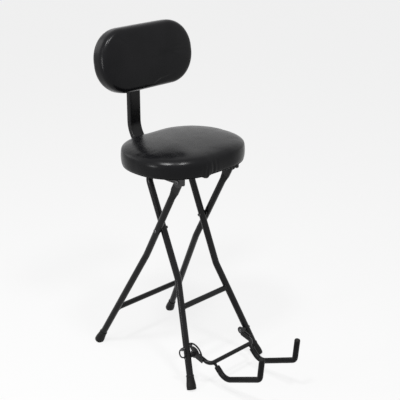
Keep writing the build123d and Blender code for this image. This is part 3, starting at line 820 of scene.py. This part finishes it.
def make_sleeves():
    direction = (arm_low - yoke_front).normalized()
    start = yoke_front + direction * sleeve_start
    for number, (label, side) in enumerate(sides):
        shift = Vector((side * arm_x, 0, 0))
        corners = [p + shift for p in (start, arm_low, arm_rise, arm_tip)]
        centres = filleted(corners, [arm_low_radius, arm_rise_radius], sleeve_spacing)

        def reach(index, angle):
            spot = Vector((index * 0.11, cos(angle) * 0.8, sin(angle) * 0.8 + number * 7))
            ease = min(index, 3) / 3
            full = sleeve_end_share + (1 - sleeve_end_share) * sqrt(ease * (2 - ease))
            return sleeve_radius * (full + sleeve_lump_share * noise(spot))

        rings = sweep_rings(centres, reach, sleeve_steps)
        inner = [[centres[0] + (p - centres[0]) * sleeve_mouth_share for p in rings[0]]]
        mesh = rings_mesh(f"sleeve_{label}", inner + rings)
        new_object(f"cradle_sleeve_{label}_foam", mesh, "cradle", "black_foam", [f"cradle_sleeve_{label}"])
        up = (centres[-1] - centres[-2]).normalized()
        tip = [centres[-1] + up * height * MM for height, share in tip_shares]
        rings = sweep_rings(tip, lambda index, angle: sleeve_radius * tip_shares[index][1], sleeve_steps)
        cap = rings_mesh(f"tip_{label}", rings)
        new_object(f"cradle_tip_{label}_cap", cap, "cradle", "black_rubber", [f"cradle_tip_{label}"])


# The lock's spring, coiled along X over the full length of its node's box
spring_wire_radius = 0.4 * MM
spring_turns = 5
spring_steps = 28
wire_steps = 10


def make_lock_spring():
    low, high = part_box("lock_spring")
    centre = (low + high) / 2
    coil_radius = (high.z - low.z) / 2 - spring_wire_radius
    length = high.x - low.x
    points = []
    for index in range(spring_turns * spring_steps + 1):
        share = index / (spring_turns * spring_steps)
        turn = 2 * pi * spring_turns * share
        x = low.x + spring_wire_radius + (length - 2 * spring_wire_radius) * share
        points.append(Vector((x, centre.y + coil_radius * cos(turn), centre.z + coil_radius * sin(turn))))
    mesh = rings_mesh("lock_coil", sweep_rings(points, lambda index, angle: spring_wire_radius, wire_steps))
    coil = new_object("lock_coil", mesh, "inner_frame", "spring_steel", ["lock_spring"])
    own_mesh(coil)


# Padded cushions
pad_steps = 320


class Pad:
    """A rounded rectangular cushion: outline in its own X and Y, height along Z."""

    def __init__(self, matrix, length, depth, radius, height):
        self.matrix = matrix
        self.length = length
        self.depth = depth
        self.radius = radius
        self.height = height
        flat_x = length / 2 - radius
        flat_y = depth / 2 - radius
        self.flats = (2 * flat_y, 2 * flat_x)
        self.quarter = pi * radius / 2
        self.around = 4 * (flat_x + flat_y + self.quarter)
        self.centres = [Vector((x * flat_x, y * flat_y)) for x, y in corner_signs]

    def edge(self, inset, share):
        """A point a share of the way round the outline drawn in by an inset, and its normal."""
        radius = self.radius - inset
        distance = share * self.around
        for side in range(4):
            flat = self.flats[side % 2]
            angle = side * pi / 2
            corner = self.centres[(side + 1) % 4]
            if distance <= flat:
                part = distance / flat if flat else 0
                normal = Vector((cos(angle), sin(angle)))
                return self.centres[side].lerp(corner, part) + normal * radius, normal
            distance -= flat
            if distance <= self.quarter or side == 3:
                angle += min(distance / self.quarter, 1) * pi / 2
                normal = Vector((cos(angle), sin(angle)))
                return corner + normal * radius, normal
            distance -= self.quarter

    def shell(self, name, profile, relief):
        """Closed form through (height, inset) pairs; a relief moves its points out and up."""
        rings = []
        for height, inset in profile:
            ring = []
            for step in range(pad_steps):
                point, normal = self.edge(inset, step / pad_steps)
                out, up = relief(point, normal, height, inset)
                place = Vector((point.x + normal.x * out, point.y + normal.y * out, height + up))
                ring.append(self.matrix @ place)
            rings.append(ring)
        return rings_mesh(name, rings)


def dense_profile(pairs, spacing):
    """Points along a smooth curve through (inset, height) pairs in millimetres, as (height, inset)."""
    points = [Vector(pair) for pair in pairs]
    last = len(points) - 1
    result = []
    for index in range(last):
        before = points[max(index - 1, 0)]
        first, second = points[index], points[index + 1]
        after = points[min(index + 2, last)]
        pieces = max(1, ceil((second - first).length / spacing))
        for piece in range(pieces):
            t = piece / pieces
            curve = 0.5 * (
                2 * first + (second - before) * t
                + (2 * before - 5 * first + 4 * second - after) * t * t
                + (3 * first - before - 3 * second + after) * t**3
            )
            result.append((curve.y * MM, curve.x * MM))
    result.append((points[last].y * MM, points[last].x * MM))
    return result


# Swelling by trapped air
swell_pressure = 4.0
swell_frames = 20
longest_move = 5 * MM
calm_turns = 24
fine_share = 0.1


def swollen_moves(cover, into, pinned_height, voxel):
    """Points of a cover's remeshed copy, how air pressure moves them, and the same moves calmed."""
    copy = linked("swelling", cover.data.copy())
    remesh = copy.modifiers.new("remesh", "REMESH")
    remesh.mode = "VOXEL"
    remesh.voxel_size = voxel
    graph = bpy.context.evaluated_depsgraph_get()
    mesh = bpy.data.meshes.new_from_object(copy.evaluated_get(graph))
    copy.modifiers.clear()
    copy.data = mesh
    start = [v.co.copy() for v in copy.data.vertices]
    held = [index for index, point in enumerate(start) if (into @ point).z < pinned_height]
    copy.vertex_groups.new(name="held").add(held, 1.0, "REPLACE")
    cloth = copy.modifiers.new("cloth", "CLOTH")
    settings = cloth.settings
    settings.quality = 6
    settings.mass = 0.3
    settings.tension_stiffness = 22
    settings.compression_stiffness = 22
    settings.shear_stiffness = 14
    settings.bending_stiffness = 3
    settings.use_pressure = True
    settings.uniform_pressure_force = swell_pressure
    settings.vertex_group_mass = "held"
    settings.effector_weights.gravity = 0
    cloth.collision_settings.use_collision = False
    for number in range(1, swell_frames + 1):
        bpy.context.scene.frame_set(number)
    swollen = copy.evaluated_get(bpy.context.evaluated_depsgraph_get()).data
    moves = []
    for vertex, origin in zip(swollen.vertices, start):
        move = vertex.co - origin
        moves.append(move * min(1, longest_move / max(move.length, 1e-9)))
    near = [[] for point in start]
    for edge in copy.data.edges:
        a, b = edge.vertices
        near[a].append(b)
        near[b].append(a)
    calm = list(moves)
    for turn in range(calm_turns):
        calm = [
            sum((calm[other] for other in near[index]), calm[index]) / (len(near[index]) + 1)
            for index in range(len(calm))
        ]
    bpy.context.scene.frame_set(1)
    bpy.data.objects.remove(copy)
    return start, moves, calm


def swell(cover, pad, pinned_height, voxel, calm_share):
    """Moves a cover's points by a share of its swollen copy's calmed moves, and of their fine rest."""
    start, moves, calm = swollen_moves(cover, pad.matrix.inverted(), pinned_height, voxel)
    tree = KDTree(len(start))
    for index, point in enumerate(start):
        tree.insert(point, index)
    tree.balance()
    for vertex in cover.data.vertices:
        total = Vector()
        weight = 0
        for place, index, distance in tree.find_n(vertex.co, 6):
            share = exp(-((distance / voxel) ** 2)) + 1e-6
            fine = moves[index] - calm[index]
            total += (calm[index] * calm_share + fine * fine_share) * share
            weight += share
        vertex.co += total / weight


def fitted(cover, pad, base):
    """Scales a cover in its pad's own frame, so that it fills the pad's box from a base up."""
    low = (-pad.length / 2, -pad.depth / 2, base)
    high = (pad.length / 2, pad.depth / 2, pad.height)
    into = pad.matrix.inverted()
    points = [into @ v.co for v in cover.data.vertices]
    for axis in range(3):
        least = min(p[axis] for p in points)
        most = max(p[axis] for p in points)
        share = (high[axis] - low[axis]) / (most - least)
        for p in points:
            p[axis] = low[axis] + (p[axis] - least) * share
    for vertex, p in zip(cover.data.vertices, points):
        vertex.co = pad.matrix @ p
    cover.data.update()


def bell(value, centre, width):
    return exp(-(((value - centre) / width) ** 2))


# Seat
seat_low, seat_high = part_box("seat_cushion")
seat_size = seat_high - seat_low
seat_centre = (seat_low + seat_high) / 2
seat_matrix = Matrix.Translation((seat_centre.x, seat_centre.y, seat_low.z))
seat_radius = (seat_size.y - seat_side_flat) / 2
seat_pad = Pad(seat_matrix, seat_size.x, seat_size.y, seat_radius, seat_size.z)

# Curve from under the board, round the hem and up to the middle: insets and heights in millimetres
seat_curve_shares = (
    (60, 12.2), (15.9, 12.2), (15.9, 0.3), (14, 0), (9, 0), (5.6, 0.6), (3, 2.6), (1.5, 6), (0.5, 12),
    (0, 20), (0, 28), (0.4, 34), (1.5, 38), (3.4, 41.2), (5.9, 44), (8.7, 46.7), (11.7, 49), (15.6, 51.1),
    (21, 52.8), (28, 54.2), (37, 55.3), (50, 56.4), (70, 57.7), (93, 58.9), (116, 59.7), (133, 60),
)
# Folds in the front edge, on the sitter's right: place along X, depth and width in millimetres
front_fold_shares = ((-61, 1.0, 5.0), (-49, 1.7, 4.0), (-39, 1.2, 3.4), (-28, 1.8, 4.4), (-15, 0.8, 5.0))
fold_top = 46
hem_drop_x = -47
hem_drop = 8.5
hem_drop_width = 12
# The shoulder is fuller at two ends of a diagonal than between them
full_shoulder_turn = radians(135)
full_shoulder = 3.4
full_shoulder_level = 44.5
# Gathers at the hem, and what swells above the pinned part
seat_gather = 0.9
seat_gather_top = 17
seat_pinned_height = 13 * MM
seat_voxel = 4.5 * MM
seat_calm_share = 0.2


def seat_relief(point, normal, height, inset):
    """Gathers near the hem, a few folds at the front edge, and the hem's droop there."""
    out = 0.0
    up = 0.0
    x = point.x / MM
    around = atan2(point.y, point.x)
    level = height / MM
    if inset < 15 * MM and level < fold_top + 1:
        curved = min(1, abs(normal.x * normal.y) * 2.2)
        gather = noise(Vector((cos(around) * 34, sin(around) * 34, 2))) * (0.4 + 0.6 * curved)
        out += seat_gather * MM * max(0, 1 - level / seat_gather_top) * gather
        if normal.y < -0.5:
            rise = min(1, max(0, (fold_top - level) / 12)) * (0.35 + 0.65 * max(0, 1 - level / 44))
            for centre, depth, width in front_fold_shares:
                wander = 1.6 * sin(level / 9 + centre)
                out -= depth * MM * bell(x + wander, centre, width) * rise
                out += 0.55 * depth * MM * bell(x + wander, centre + 1.6 * width, width) * rise
            up -= hem_drop * MM * bell(x, hem_drop_x, hem_drop_width) * max(0, 1 - level / 16)
    if inset < 30 * MM:
        diagonal = cos(around - full_shoulder_turn) ** 4
        out += full_shoulder * MM * diagonal * bell(level, full_shoulder_level, 5)
    if inset > 12 * MM and level > 30:
        up += 0.12 * MM * noise(Vector((point.x * 22, point.y * 22, 5)))
    return out, up


def make_seat():
    mesh = seat_pad.shell("seat_cover", dense_profile(seat_curve_shares, 2.4), seat_relief)
    seat = new_object("seat_cover", mesh, "seat", "black_vinyl", ["seat_cushion"])
    swell(seat, seat_pad, seat_pinned_height, seat_voxel, seat_calm_share)
    fitted(seat, seat_pad, min(v.co.z for v in seat.data.vertices) - seat_low.z)


# Backrest
back_normal = Vector((0, -cos(back_lean), sin(back_lean)))
back_matrix = axis_matrix((0, back_y, back_z), back_normal, (1, 0, 0))
back_pad = Pad(back_matrix, back_length, back_height, (back_height - back_side_flat) / 2, back_thickness)
back_curve_shares = (
    (45, 10.2), (13.9, 10.2), (13.9, 0.3), (12, 0), (8, 0), (4.6, 0.7), (2.2, 2.8), (0.9, 6.5), (0.2, 12),
    (0, 20), (0, 27.5), (0.6, 33), (2, 37.4), (4.1, 41.2), (6.9, 44.1), (11, 46.2), (17.2, 47.7),
    (27, 48.7), (42, 49.4), (60, 49.9), (79, 50),
)
# Short pulls across the face: place, turn in degrees, length, width and depth in millimetres
face_pull_shares = (
    (78, 12, 8, 26, 2.6, 0.8), (88, 3, -4, 30, 2.8, 0.9), (70, -6, -12, 22, 2.4, 0.7),
    (22, -70, 24, 20, 2.6, 0.9), (38, -68, 14, 24, 3.0, 1.0), (56, -66, 8, 22, 2.8, 0.9),
    (-96, 58, -38, 16, 2.6, 0.35), (-120, -40, 50, 18, 2.6, 0.4),
)
back_gather = 0.8
back_gather_top = 15
back_pinned_height = 11 * MM
back_voxel = 4 * MM
back_calm_share = 0.15


def back_relief(point, normal, height, inset):
    """Gathers near the hem, and pulls across the face."""
    out = 0.0
    up = 0.0
    x, y = point.x / MM, point.y / MM
    level = height / MM
    around = atan2(point.y, point.x)
    if inset < 12 * MM:
        gather = noise(Vector((cos(around) * 26, sin(around) * 26, 9)))
        out += back_gather * MM * max(0, 1 - level / back_gather_top) * gather
    if level > 40:
        for centre_x, centre_y, turn, length, width, depth in face_pull_shares:
            c, s = cos(radians(turn)), sin(radians(turn))
            along = (x - centre_x) * c + (y - centre_y) * s
            across = -(x - centre_x) * s + (y - centre_y) * c
            pull = depth * MM * bell(along, 0, length)
            up += pull * (0.5 * bell(across, 1.7 * width, width) - bell(across, 0, width))
    return out, up


def make_backrest():
    mesh = back_pad.shell("backrest_cover", dense_profile(back_curve_shares, 2.2), back_relief)
    back = new_object("backrest_cover", mesh, "seat", "black_vinyl", ["backrest_cushion"])
    swell(back, back_pad, back_pinned_height, back_voxel, back_calm_share)
    fitted(back, back_pad, 0)


# Hems: the cover turned over the board's edge, pleated round the ends and stapled
hems = (("seat_hem", seat_pad, 27, 27 * MM, 3), ("backrest_hem", back_pad, 24, 25 * MM, 6))
hem_steps = 420
hem_pleats = 63
pleat_height = 0.75
staple_inset = 7
staple_half = 4.6 * MM
staple_level = -1.3 * MM
staple_leg = 2.4 * MM
staple_bend = 0.6 * MM
staple_wire = 0.42 * MM


def make_hem(name, pad, reach, seed):
    """Hem as wide as a reach in millimetres."""
    curve = (
        (3.2, 0.6), (4.4, -0.25), (7, -0.7), (11, -0.8), (16, -0.8), (21, -0.75), (reach - 1.2, -0.7),
        (reach, -0.45), (reach + 0.1, 0), (reach - 1.2, 0.2), (12, 0.4),
    )
    rings = []
    for inset, height in curve:
        ring = []
        for step in range(hem_steps):
            point, normal = pad.edge(inset * MM, step / hem_steps)
            ends = min(1, abs(normal.x) * 1.4)
            shift = 1.5 * noise(Vector((step * 0.04, seed, 1)))
            wave = max(0, sin(step * 2 * pi * hem_pleats / hem_steps + shift))
            pleat = wave**2 * ends * min(1, max(0, (inset - 5) / 8))
            ragged = 1.5 * noise(Vector((step * 0.06, seed, 4)))
            ragged += 0.5 * noise(Vector((step * 0.5, seed, 8)))
            drawn = ragged * MM if inset > reach - 2 else 0
            drop = pleat_height * pleat if height < 0 else 0
            spot = Vector((point.x - normal.x * drawn, point.y - normal.y * drawn, (height - drop) * MM))
            ring.append(pad.matrix @ spot)
        rings.append(ring)
    new_object(name, rings_mesh(name, rings, looped=True), "seat", "black_vinyl")


def make_staples(name, pad, reach, gap, seed):
    """Staples along a hem, none quite in line."""
    count = int(pad.around / gap)
    random.seed(seed)
    staples = []
    for index in range(count):
        share = (index + random.uniform(-0.18, 0.18)) / count % 1
        point, normal = pad.edge((reach - staple_inset + random.uniform(-1.2, 1.2)) * MM, share)
        tilt = atan2(normal.y, normal.x) + pi / 2 + random.uniform(-0.25, 0.25)
        half = Vector((cos(tilt), sin(tilt), 0)) * staple_half
        centre = Vector((point.x, point.y, staple_level))
        leg = Vector((0, 0, staple_leg))
        corners = [centre - half + leg, centre - half, centre + half, centre + half + leg]
        path = filleted(corners, [staple_bend, staple_bend], 0.8 * MM)
        rings = sweep_rings([pad.matrix @ p for p in path], lambda i, a: staple_wire, 6)
        staples.append(rings_mesh("staple", rings))
    new_object(f"{name}_staples", joined(f"{name}_staples", staples), "seat", "zinc_screw")


# Floor and light
floor_reach = 30
floor_glow = 0.82
world_level = 0.28
middle = (0, 0.1, 0.55)
lamps = (
    ("key", (-2.1, 0.4, 2.2), middle, (0.9, 0.9), 3.5),
    ("top_left", (-0.95, -0.26, 2.6), middle, (0.35, 0.3), 28),
    ("top_right", (-0.29, -0.9, 2.6), middle, (0.35, 0.3), 23),
    ("side", (-2.2, 0.1, 0.95), (0, 0.2, 0.8), (0.8, 0.4), 14),
    ("rear", (-0.9, 2.3, 1.8), middle, (1.2, 1.2), 7),
)


def seen_rays(tree):
    """1 where a ray comes from the camera, a gloss or a glass, and 0 elsewhere."""
    path = tree.nodes.new("ShaderNodeLightPath")
    seen = path.outputs["Is Camera Ray"]
    for name in ("Is Transmission Ray", "Is Glossy Ray"):
        both = tree.nodes.new("ShaderNodeMath")
        both.operation = "MAXIMUM"
        tree.links.new(seen, both.inputs[0])
        tree.links.new(path.outputs[name], both.inputs[1])
        seen = both.outputs[0]
    return seen


def make_stage():
    """A pale floor that glows where it is seen."""
    points = [(x * floor_reach, y * floor_reach, 0) for x, y in corner_signs]
    floor = linked("floor", mesh_from("floor", points, [(0, 1, 2, 3)]))
    surface = Surface("floor", specular=0.1)
    surface.shader.inputs["Base Color"].default_value = (0.8, 0.8, 0.8, 1)
    surface.shader.inputs["Roughness"].default_value = 0.9
    glow = surface.node("ShaderNodeEmission")
    mix = surface.node("ShaderNodeMixShader")
    share = surface.node("ShaderNodeMath", operation="MULTIPLY")
    share.inputs[1].default_value = floor_glow
    surface.link(seen_rays(surface.tree), share.inputs[0])
    surface.link(share.outputs[0], mix.inputs["Fac"])
    surface.link(surface.shader.outputs["BSDF"], mix.inputs[1])
    surface.link(glow.outputs["Emission"], mix.inputs[2])
    surface.link(mix.outputs["Shader"], surface.tree.nodes["Material Output"].inputs["Surface"])
    floor.data.materials.append(surface.material)


def make_light(name, place, target, size, power):
    data = bpy.data.lights.new(name, "AREA")
    data.shape = "RECTANGLE"
    data.size, data.size_y = size
    data.energy = power
    lamp = linked(name, data)
    lamp.matrix_world = axis_matrix(place, Vector(place) - Vector(target), (0, 0, 1))


def make_world():
    """White where it is seen, directly or in gloss, and a plain level for the rest."""
    world = bpy.data.worlds.new("studio")
    bpy.context.scene.world = world
    world.use_nodes = True
    tree = world.node_tree
    background = tree.nodes["Background"]
    background.inputs["Color"].default_value = (1, 1, 1, 1)
    mapped = tree.nodes.new("ShaderNodeMapRange")
    mapped.inputs["To Min"].default_value = world_level
    mapped.inputs["To Max"].default_value = 1.0
    tree.links.new(seen_rays(tree), mapped.inputs["Value"])
    tree.links.new(mapped.outputs["Result"], background.inputs["Strength"])


make_camera()
make_stage()
make_world()
for lamp in lamps:
    make_light(*lamp)
bpy.context.scene.view_settings.view_transform = "Standard"

finish_nodes()
make_seat()
make_backrest()
for name, pad, reach, gap, seed in hems:
    make_hem(name, pad, reach, seed)
    make_staples(name, pad, reach, gap, seed)
random.seed(5)
hinge_low, hinge_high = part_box("hinge_bolts")
hinge_y = (hinge_low.y + hinge_high.y) / 2
make_hinge_fasteners("pivot", "outer_frame", pivot_y, pivot_z, *pivot_sizes)
make_hinge_fasteners("hinge", "seat", hinge_y, seat_hinge_z, *hinge_sizes)
make_post_bolts()
make_bracket_bolts()
make_seat_screws()
make_bracket_screws()
make_rivets()
for label, side in sides:
    make_boot(f"rear_foot_{label}", "outer_frame", outer_line(side), rear_neck_radius)
    make_boot(f"front_foot_{label}", "inner_frame", inner_line(side), front_neck_radius)
make_brace_welds("rear_brace_welds", "outer_frame", outer_line, rear_brace_z)
make_brace_welds("front_brace_welds", "inner_frame", inner_line, front_brace_z)
make_top_bar_welds()
make_cradle_welds()
make_sleeves()
make_lock_spring()
